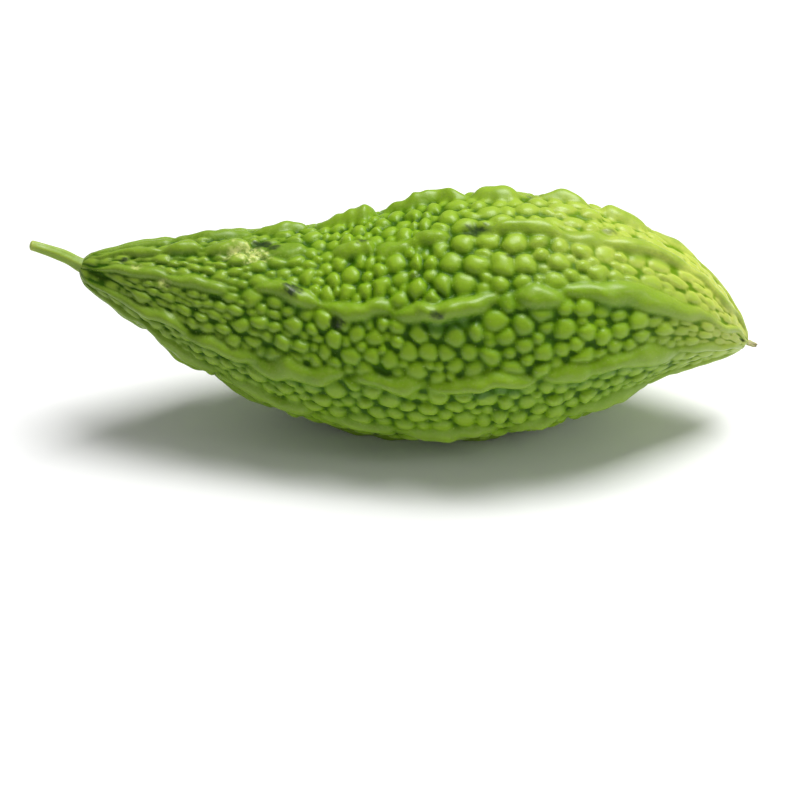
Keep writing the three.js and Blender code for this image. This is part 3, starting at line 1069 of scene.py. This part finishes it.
@dataclass(frozen=True)
class SkinFinish(Finish):
    """Waxy fruit skin: green of several depths, with painted shade in its creases and under what overhangs, a
    painted highlight on its crowns, and paler towards the blossom end, partly as its own colour and partly as
    painted light. Sizes of blotches and grains are in metres."""

    deep: Colour = (0.085, 0.205, 0.0006)
    middle: Colour = (0.19, 0.355, 0.002)
    # light is the painted highlight colour on the crowns.
    light: Colour = (0.31, 0.48, 0.02)
    # pale is the blossom end's own paleness and painted light on the top near it.
    pale: Colour = (0.6, 0.65, 0.12)
    stem_side: Colour = (0.16, 0.24, 0.03)
    shaded: Colour = (0.045, 0.155, 0.0004)
    # crease and pale_crease are painted shade in the creases, the second where painted light falls.
    crease: Colour = (0.028, 0.095, 0.0002)
    pale_crease: Colour = (0.19, 0.35, 0.001)
    dust: Colour = (0.25, 0.36, 0.05)
    crest: Colour = (0.17, 0.3, 0.008)
    bruise: Colour = (0.018, 0.035, 0.01)
    scar: Colour = (0.62, 0.68, 0.22)
    speck: Colour = (0.42, 0.52, 0.16)

    blotch: float = 0.03
    crest_patch: float = 0.006
    gloss_patch: float = 0.005
    wrinkle: float = 0.0025
    mottle: float = 0.0016
    dust_grain: float = 0.0011
    speck_size: float = 0.0007
    pore: float = 0.0006

    def base(self, nodes: Nodes) -> object:
        """Layers the greens of the furrows' skin: blotches, each wart's own tint, and the greyer stem end."""
        blotches = nodes.eased(nodes.noise(self.blotch, 3, 0.55), 0.35, 0.65)
        colour = nodes.blend(blotches, self.deep, self.middle)
        tint = nodes.eased(nodes.attribute("tint"), 0.1, 1, 0.35, 0.75)
        colour = nodes.blend(tint, colour, self.middle)
        stem_side = nodes.eased(nodes.attribute("length_share"), 0.0, 0.45, 0.7, 0)
        return nodes.blend(stem_side, colour, self.stem_side)

    def relieved(self, nodes: Nodes, colour: object) -> object:
        """Adds what goes with the relief. The blossom end is pale, partly as its own colour and partly as
        painted light, and the top near it is pale as painted light; the painted shade in their creases and
        under what overhangs is paler there too. Warts carry a painted highlight on their crowns, ridges are
        duller in patches, and creases and skin under what overhangs carry painted shade.

        Args:
            nodes: The material's nodes.
            colour: The greens so far.

        Returns:
            The colour.
        """
        upward, length_share = nodes.attribute("upward"), nodes.attribute("length_share")
        ridge = nodes.attribute("ridge")
        # Painted light: the blossom end is pale partly as its own colour and partly as painted light, more on
        # its upper side.
        ripe_and_lit = nodes.times(nodes.eased(length_share, 0.77, 1.0, 0, 0.75), nodes.eased(upward, -0.4, 0.7, 0.4, 1))
        # sunny is painted light: the top near the blossom end is paler where the light falls.
        sunny = nodes.times(nodes.eased(upward, 0.58, 1.0), nodes.eased(length_share, 0.5, 0.9, 0.02, 0.75))
        # lit pales the painted shade and the painted crease shade where painted light falls.
        lit = nodes.larger(ripe_and_lit, sunny)
        colour = nodes.blend(ripe_and_lit, colour, self.pale)
        colour = nodes.blend(sunny, colour, self.pale)
        # Painted highlight: the crowns of warts and ridges lightened towards the light green.
        crown_highlight = nodes.eased(nodes.attribute("crown_highlight"), 0.3, 1.0, 0, 0.42)
        colour = nodes.blend(crown_highlight, colour, self.light)
        patches = nodes.eased(nodes.noise(self.crest_patch, 4), 0.3, 0.7, 0.1, 0.55)
        colour = nodes.blend(nodes.times(ridge, patches), colour, self.crest)
        shade = nodes.eased(nodes.attribute("shade"), 0, 1, 0, 0.85)
        colour = nodes.blend(shade, colour, nodes.blend(lit, self.shaded, self.pale_crease))
        # Painted shade in the creases, the sinks and the hollow, paler where painted light falls.
        crease = nodes.eased(nodes.attribute("crease"), 0.05, 0.85, 0, 0.95)
        return nodes.blend(crease, colour, nodes.blend(lit, self.crease, self.pale_crease))

    def marked(self, nodes: Nodes, colour: object) -> object:
        """Adds specks, dust on the ridges, scars and bruises.

        Args:
            nodes: The material's nodes.
            colour: The unmarked skin.

        Returns:
            The colour.
        """
        specks = nodes.eased(nodes.noise(self.speck_size, 2), 0.66, 0.74, 0, 0.3)
        colour = nodes.blend(specks, colour, self.speck)
        grains = nodes.eased(nodes.noise(self.dust_grain, 4), 0.45, 0.65, 0, 0.3)
        colour = nodes.blend(nodes.times(nodes.attribute("ridge"), grains), colour, self.dust)
        mottle = nodes.noise(self.mottle, 4, 0.6)
        scar = nodes.times(nodes.attribute(MarkKind.SCAR.value), nodes.eased(mottle, 0.38, 0.58, 0.2, 1))
        colour = nodes.blend(scar, colour, self.scar)
        bruise = nodes.times(nodes.attribute(MarkKind.BRUISE.value), nodes.eased(mottle, 0.35, 0.65, 1, 0.75))
        return nodes.blend(bruise, colour, self.bruise)

    def material(self) -> bpy.types.Material:
        """Makes the finish: its colour, a gloss that bruises dull, pores and fine wrinkles as bump, and a wax
        coat that the creases lack, partly as real wax and partly as painted shade on their reflection.

        Returns:
            The material.
        """
        nodes = Nodes("gourd_skin")
        gloss = nodes.eased(nodes.noise(self.gloss_patch, 3), 0.3, 0.7, 0.34, 0.47)
        dull = nodes.eased(nodes.attribute(MarkKind.BRUISE.value), 0, 1, 0, 0.75)
        pores = nodes.bump(nodes.noise(self.pore, 3, 0.6), 0.0002, 0.25)
        return nodes.finish(
            Base_Color=self.marked(nodes, self.relieved(nodes, self.base(nodes))),
            Roughness=nodes.larger(gloss, dull),
            Normal=nodes.bump(nodes.noise(self.wrinkle, 3, 0.6, 0.4), 0.0006, 0.35, pores),
            Specular_IOR_Level=0.1,
            # The coat follows the crease share, so the creases also lose their reflection as painted shade.
            Coat_Weight=nodes.eased(nodes.attribute("crease"), 0, 0.45, 0.5, 0),
            Coat_Roughness=0.36,
            Subsurface_Weight=0.08,
            Subsurface_Radius=(0.5, 0.8, 0.05),
            Subsurface_Scale=0.002,
        )


@dataclass(frozen=True)
class StalkFinish(Finish):
    """Green stem, yellower where it was cut, with fine lines along it."""

    root: Colour = (0.19, 0.3, 0.035)
    middle: Colour = (0.23, 0.36, 0.012)
    cut: Colour = (0.36, 0.44, 0.07)

    def material(self) -> bpy.types.Material:
        """Makes the finish from the stem's own attributes, along and around.

        Returns:
            The material.
        """
        nodes = Nodes("stem_skin")
        along = nodes.attribute("along")
        colour = nodes.blend(nodes.eased(along, 0.0, 0.4), self.root, self.middle)
        colour = nodes.blend(nodes.eased(along, 0.8, 0.99), colour, self.cut)
        strand = nodes.eased(nodes.attribute("strand"), 0.4, 0.9, 0, 0.35)
        colour = nodes.blend(strand, colour, self.cut)
        flecks = nodes.eased(nodes.noise(0.0008, 3), 0.55, 0.75, 0, 0.4)
        colour = nodes.blend(flecks, colour, self.root)
        return nodes.finish(
            Base_Color=colour,
            Roughness=nodes.eased(nodes.noise(0.002, 2), 0.3, 0.7, 0.42, 0.6),
            Normal=nodes.bump(nodes.noise(0.0006, 3), 0.0002, 0.3),
            Subsurface_Weight=0.15,
            Subsurface_Radius=(0.4, 0.8, 0.12),
            Subsurface_Scale=0.002,
        )


@dataclass(frozen=True)
class DriedFinish(Finish):
    """Dried petal: pale straw green, brown at its frayed edge."""

    fresh: Colour = (0.42, 0.48, 0.16)
    dry: Colour = (0.5, 0.45, 0.24)
    edge: Colour = (0.12, 0.08, 0.03)

    def material(self) -> bpy.types.Material:
        """Makes the finish, drier and browner along the piece.

        Returns:
            The material.
        """
        nodes = Nodes("dried_blossom")
        along = nodes.attribute("along")
        mottled = nodes.eased(nodes.noise(0.0008, 4), 0.35, 0.65)
        colour = nodes.blend(mottled, self.fresh, self.dry)
        colour = nodes.blend(nodes.eased(along, 0.75, 1.0, 0, 0.7), colour, self.edge)
        return nodes.finish(
            Base_Color=colour,
            Roughness=nodes.eased(mottled, 0, 1, 0.7, 0.9),
            Normal=nodes.bump(nodes.noise(0.0004, 4), 0.0003, 0.6),
            Subsurface_Weight=0.1,
            Subsurface_Scale=0.001,
        )


@dataclass(frozen=True)
class FloorFinish(Finish):
    """Matt pale board."""

    light: Colour = (0.93, 0.93, 0.93)
    dark: Colour = (0.9, 0.9, 0.9)

    def material(self) -> bpy.types.Material:
        """Makes the finish, very slightly uneven.

        Returns:
            The material.
        """
        nodes = Nodes("studio_floor")
        colour = nodes.blend(nodes.noise(0.3, 2), self.light, self.dark)
        return nodes.finish(Base_Color=colour, Roughness=0.85)


# ---------------------------------------------------------------- stem and blossom


@dataclass
class Stem:
    """The short stem: it climbs out of the collar and levels out towards its cut end. Millimetres."""

    spindle: Spindle
    length: float = 15.5
    radius: float = 2.1
    cut_radius: float = 1.5
    seat: float = 4
    rise: float = 1.0
    climb: float = math.radians(36)
    levels_to: float = math.radians(12)
    rings: int = 90
    columns: int = 56
    taper: float = 1.5
    strands: int = 5
    strand_depth: float = 0.05
    strand_start: tuple[float, float] = (0.02, 0.2)
    twist: float = 1.2
    lip: float = 0.05
    lip_rings: int = 10
    unevenness: float = 0.06
    lumps: Ripple = Ripple(5.0, 31)
    pole_shares: tuple[float, float] = (0.002, 1.0)
    samples: int = 200

    def path(self, share: Array) -> Array:
        """The stem's axis: a quadratic Bezier curve from its cut end to its root inside the collar.

        Args:
            share: Shares of the curve.

        Returns:
            Points in millimetres, from the stem end of the spine.
        """
        root = self.spindle.spine(np.array([0.0]))[0][0] + np.array([0, 0, self.rise])
        steep = np.array([-math.cos(self.climb), 0, math.sin(self.climb)])
        level = np.array([-math.cos(self.levels_to), 0, math.sin(self.levels_to)])
        elbow = root + steep * self.length / 2
        return bezier(share, elbow + level * self.length / 2, elbow, root - steep * self.seat)

    def offset(self) -> Array:
        """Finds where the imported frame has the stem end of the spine, by matching the stem's own box."""
        low, high = (np.array(corner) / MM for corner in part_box("stem"))
        share = np.linspace(0, 1, self.samples)
        path = self.path(share)
        radius = self.plain_radius(share)
        reach = radius[:, None] * np.abs(tangents(path)[:, ::-1]) * (1, 0, 1)
        return (low + high) / 2 - ((path - reach).min(axis=0) + (path + reach).max(axis=0)) / 2

    def plain_radius(self, share: Array) -> Array:
        """The radius without strands: from the cut end's to the root's as a power of the share."""
        return self.cut_radius + (self.radius - self.cut_radius) * share**self.taper

    def build(self, offset: Array) -> bpy.types.Object:
        """Makes the stem: a ring with a few soft strands, carried along its path and rounded at the cut.

        Args:
            offset: Where the stem end of the spine is, in millimetres.

        Returns:
            The stem.
        """
        lip = self.lip * (1 - quarter_sines(self.lip_rings)[::-1])
        share = np.concatenate([lip, np.linspace(self.lip, 1, self.rings)])
        rounding = np.sqrt(np.clip(1 - (1 - np.minimum(share / self.lip, 1)) ** 2, 0, 1))
        angle = ring_angles(self.columns)
        strand = np.cos(self.strands * angle[None, :] + self.twist * share[:, None])
        swelling = 1 + self.strand_depth * strand * smoothstep(share, *self.strand_start)[:, None]
        path = self.path(share)
        radius = (self.plain_radius(share) * rounding)[:, None] * swelling
        rings = carried(path, radius, self.columns)
        rings += self.unevenness * self.lumps.at(rings)[..., None] * (rings - path[:, None, :])
        poles = self.path(np.array(self.pole_shares))
        piece = ring_mesh("stem_stalk", (rings + offset) * MM, (poles + offset) * MM)
        along = np.broadcast_to(1 - share[:, None], strand.shape).ravel()
        add_attribute(piece, "along", np.concatenate([along, [1.0, 0.0]]))
        add_attribute(piece, "strand", np.concatenate([(strand.ravel() + 1) / 2, [0.5, 0.5]]))
        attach(piece, BODY)
        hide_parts("stem")
        LOG.info("stem: %d points", len(piece.data.vertices))
        return piece


@dataclass
class BlossomRemnant:
    """The dried scrap of blossom on the beak: a crumpled, frayed tube. Millimetres."""

    spindle: Spindle
    length: float = 3.4
    radius: float = 0.8
    seat: float = 1.6
    droop: float = math.radians(25)
    rings: int = 40
    columns: int = 48
    root_share: float = 0.75
    bulge: float = 0.3
    fold_depth: float = 0.22
    folds: tuple[tuple[float, float, float], ...] = ((1, 5, 0.6), (0.6, 8, 2.1))
    rim: tuple[tuple[float, float, float], ...] = ((0.5, 3, 1.0), (0.35, 7, 0))
    rim_reach: float = 0.5
    rim_from: float = 0.8
    rim_closing: float = 0.05
    least_rim: float = 0.1
    crumple: float = 0.12
    crumples: tuple[Ripple, ...] = (Ripple(1.2, 41), Ripple(1.2, 42), Ripple(1.2, 43))
    pole_shares: tuple[float, float] = (0.0, 0.96)

    def path(self, share: Array) -> Array:
        """The scrap's axis: a quadratic Bezier curve from inside the beak outwards and down.

        Args:
            share: Shares of the curve.

        Returns:
            Points in millimetres, from the stem end of the spine.
        """
        roots, slopes = self.spindle.spine(np.array([1.0]))
        inwards = -np.array([1, 0, slopes[0]]) / math.hypot(1, slopes[0])
        inner = roots[0] + inwards * self.seat
        outer = roots[0] + self.length * np.array([math.cos(self.droop), 0, -math.sin(self.droop)])
        return bezier(share, inner, roots[0], outer)

    def build(self, offset: Array) -> bpy.types.Object:
        """Makes the scrap: a ring with folds that deepen along the path, which closes in from rim_from on,
        and whose rim reaches further at some angles than at others. Ripples crumple all of it.

        Args:
            offset: Where the stem end of the spine is, in millimetres.

        Returns:
            The scrap.
        """
        share = np.linspace(0, 1, self.rings + 2)[1:-1]
        along = share[:, None]
        angle = ring_angles(self.columns)
        folded = 1 + self.fold_depth * along * waves(angle, self.folds)
        radius = self.radius * (self.root_share + self.bulge * np.sin(np.pi * along)) * folded
        closing = 1 - np.maximum(along - self.rim_from, 0) ** 2 / self.rim_closing
        radius *= np.sqrt(np.clip(closing, self.least_rim, 1))
        rings = carried(self.path(share), radius, self.columns)
        rings[..., 0] += along**3 * waves(angle, self.rim) * self.rim_reach
        crumples = np.stack([ripple.at(rings) for ripple in self.crumples], axis=-1)
        rings += self.crumple * along[..., None] * crumples
        poles = self.path(np.array(self.pole_shares))
        piece = ring_mesh("blossom_scrap", (rings + offset) * MM, (poles + offset) * MM)
        places = np.broadcast_to(along, rings.shape[:2]).ravel()
        add_attribute(piece, "along", np.concatenate([places, [0.0, 1.0]]))
        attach(piece, BODY)
        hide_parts("blossom_remnant")
        LOG.info("blossom: %d points", len(piece.data.vertices))
        return piece


# ---------------------------------------------------------------- studio


@dataclass(frozen=True)
class SoftLight:
    """A square area light: where it stands, its side in metres and its power in watts."""

    name: str
    place: tuple[float, float, float]
    side: float
    power: float

    def build(self, target: Vector) -> None:
        """Hangs the light.

        Args:
            target: What it is aimed at.
        """
        lamp = bpy.data.lights.new(self.name, "AREA")
        lamp.size = self.side
        lamp.energy = self.power
        stand = bpy.data.objects.new(self.name, lamp)
        stand.location = self.place
        stand.rotation_euler = (target - stand.location).to_track_quat("-Z", "Y").to_euler()
        bpy.context.collection.objects.link(stand)


@dataclass
class Studio:
    """Pale floor, soft lights, and a camera that looks down on the gourd's side."""

    elevation: float = math.radians(35)
    azimuth: float = 0.0
    distance: float = 0.567
    lens: float = 85
    aim_below: float = 0.026
    floor_side: float = 6.0
    floor_gap: float = 0.05 * MM
    sky: float = 0.27
    lights: tuple[SoftLight, ...] = (
        SoftLight("overhead", (0.25, 0.2, 1.05), 0.6, 15.0),
        SoftLight("side", (0.7, -0.25, 0.45), 0.25, 0.8),
    )

    def build(self, low: Vector, high: Vector) -> None:
        """Sets up the floor, the sky, the lights and the camera round the object's box.

        Args:
            low: The box's lowest corner.
            high: Its highest corner.
        """
        self.build_floor()
        world = bpy.data.worlds.new("studio_sky")
        bpy.context.scene.world = world
        world.use_nodes = True
        background = world.node_tree.nodes["Background"]
        background.inputs["Color"].default_value = (1, 1, 1, 1)
        background.inputs["Strength"].default_value = self.sky
        middle = (low + high) / 2
        for light in self.lights:
            light.build(middle)
        self.build_camera(middle)

    def build_floor(self) -> None:
        """Lays the floor just under the resting surface."""
        half = self.floor_side / 2
        mesh = bpy.data.meshes.new("floor")
        corners = [(-half, -half, 0), (half, -half, 0), (half, half, 0), (-half, half, 0)]
        mesh.from_pydata(corners, [], [(0, 1, 2, 3)])
        floor = bpy.data.objects.new("floor", mesh)
        FloorFinish().cover(floor)
        bpy.context.collection.objects.link(floor)
        floor.location.z = -self.floor_gap

    def build_camera(self, middle: Vector) -> None:
        """Stands the camera off along its azimuth and elevation, aimed a little below the object's middle.

        Args:
            middle: The middle of the object's box.
        """
        level = math.cos(self.elevation)
        x, y = math.sin(self.azimuth) * level, math.cos(self.azimuth) * level
        ahead = Vector((x, y, -math.sin(self.elevation)))
        camera = bpy.data.objects.new("camera", bpy.data.cameras.new("camera"))
        camera.data.lens = self.lens
        camera.rotation_euler = ahead.to_track_quat("-Z", "Y").to_euler()
        down = camera.rotation_euler.to_matrix() @ Vector((0, -1, 0))
        camera.location = middle + down * self.aim_below - ahead * self.distance
        bpy.context.collection.objects.link(camera)
        bpy.context.scene.camera = camera


def main() -> None:
    """Builds the studio and the gourd."""
    logging.basicConfig(level=logging.INFO, format="%(name)s: %(message)s")
    bpy.context.scene.view_settings.view_transform = "Standard"
    low, high = (Vector(corner) for corner in CAD_BOUNDS)
    Studio().build(low, high)
    spindle = Spindle()
    ridges = RidgeSet()
    stem = Stem(spindle)
    offset = stem.offset()
    fruit = Fruit(spindle, ridges, WartField(spindle, ridges))
    SkinFinish().cover(fruit.build(offset))
    StalkFinish().cover(stem.build(offset))
    DriedFinish().cover(BlossomRemnant(spindle).build(offset))


if __name__ == "__main__":
    main()
